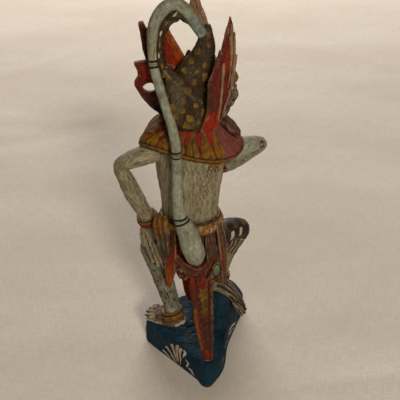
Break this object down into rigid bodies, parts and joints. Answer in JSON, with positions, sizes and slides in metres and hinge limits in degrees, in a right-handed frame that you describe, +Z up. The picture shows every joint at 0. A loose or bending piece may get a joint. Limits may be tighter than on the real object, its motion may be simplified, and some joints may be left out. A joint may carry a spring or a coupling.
{
  "type": "carved monkey figure",
  "caption": "Carved and painted wooden monkey warrior standing on a rock, its tail arching up to the crown, with leaf crown, petal collar and hanging sashes.",
  "frame": {"origin": "on the flat underside of the rock, below the middle of the figure's trunk", "axes": "+Z up; the figure's chest faces -Y and its left side is +X; its head is turned to its right"},
  "size_m": [0.1071, 0.097, 0.3195],
  "materials": {
    "pale_paint": "matte pale grey-olive paint with fine brush strokes, worn at the edges",
    "red_paint": "matte red paint with gold patterns, worn to bare wood on the edges",
    "dark_hair_paint": "matte dark brown-black paint with gold spots",
    "gold_paint": "dull ochre-gold paint",
    "blue_paint": "semi-matte dark teal-blue paint with cream foam strokes",
    "check_paint": "matte pale paint, with a black and white check on the thigh",
    "bare_wood": "unfinished light hardwood"
  },
  "bodies": {
    "root": {"rock_base": "blue_paint", "left_foot": "pale_paint", "left_anklet": "gold_paint", "left_leg": "pale_paint", "right_foot": "pale_paint", "right_anklet": "gold_paint", "right_leg": "check_paint", "trunk": "pale_paint", "hip_cloth": "red_paint", "belt": "gold_paint", "sash_bow": "red_paint", "rear_sash": "red_paint", "front_apron": "red_paint", "left_lappet": "red_paint", "right_lappet_outer": "red_paint", "right_lappet_inner": "red_paint", "left_hip_drape": "gold_paint", "left_arm": "pale_paint", "left_bracelet": "red_paint", "left_hand": "pale_paint", "right_arm": "pale_paint", "right_bracelet": "gold_paint", "right_hand": "pale_paint", "collar": "red_paint", "left_shoulder_lappet": "red_paint", "right_shoulder_lappet": "red_paint", "head": "pale_paint", "diadem": "gold_paint", "crown_spike": "red_paint", "hair_mass": "dark_hair_paint", "hair_crest": "dark_hair_paint", "left_upper_leaf": "red_paint", "left_ear_leaf": "red_paint", "right_ear_leaf_front": "red_paint", "right_ear_leaf_brow": "red_paint", "right_ear_leaf_tall": "red_paint", "right_ear_leaf_rear": "red_paint", "tail_root": "pale_paint", "tail_back": "pale_paint", "tail_neck": "pale_paint", "tail_arch": "pale_paint", "ankle_dowels": "bare_wood", "foot_pins": "bare_wood", "hip_dowels": "bare_wood", "shoulder_dowels": "bare_wood", "wrist_dowels": "bare_wood", "neck_dowel": "bare_wood", "tail_dowels": "bare_wood", "crown_pins": "bare_wood"}
  },
  "joints": []
}
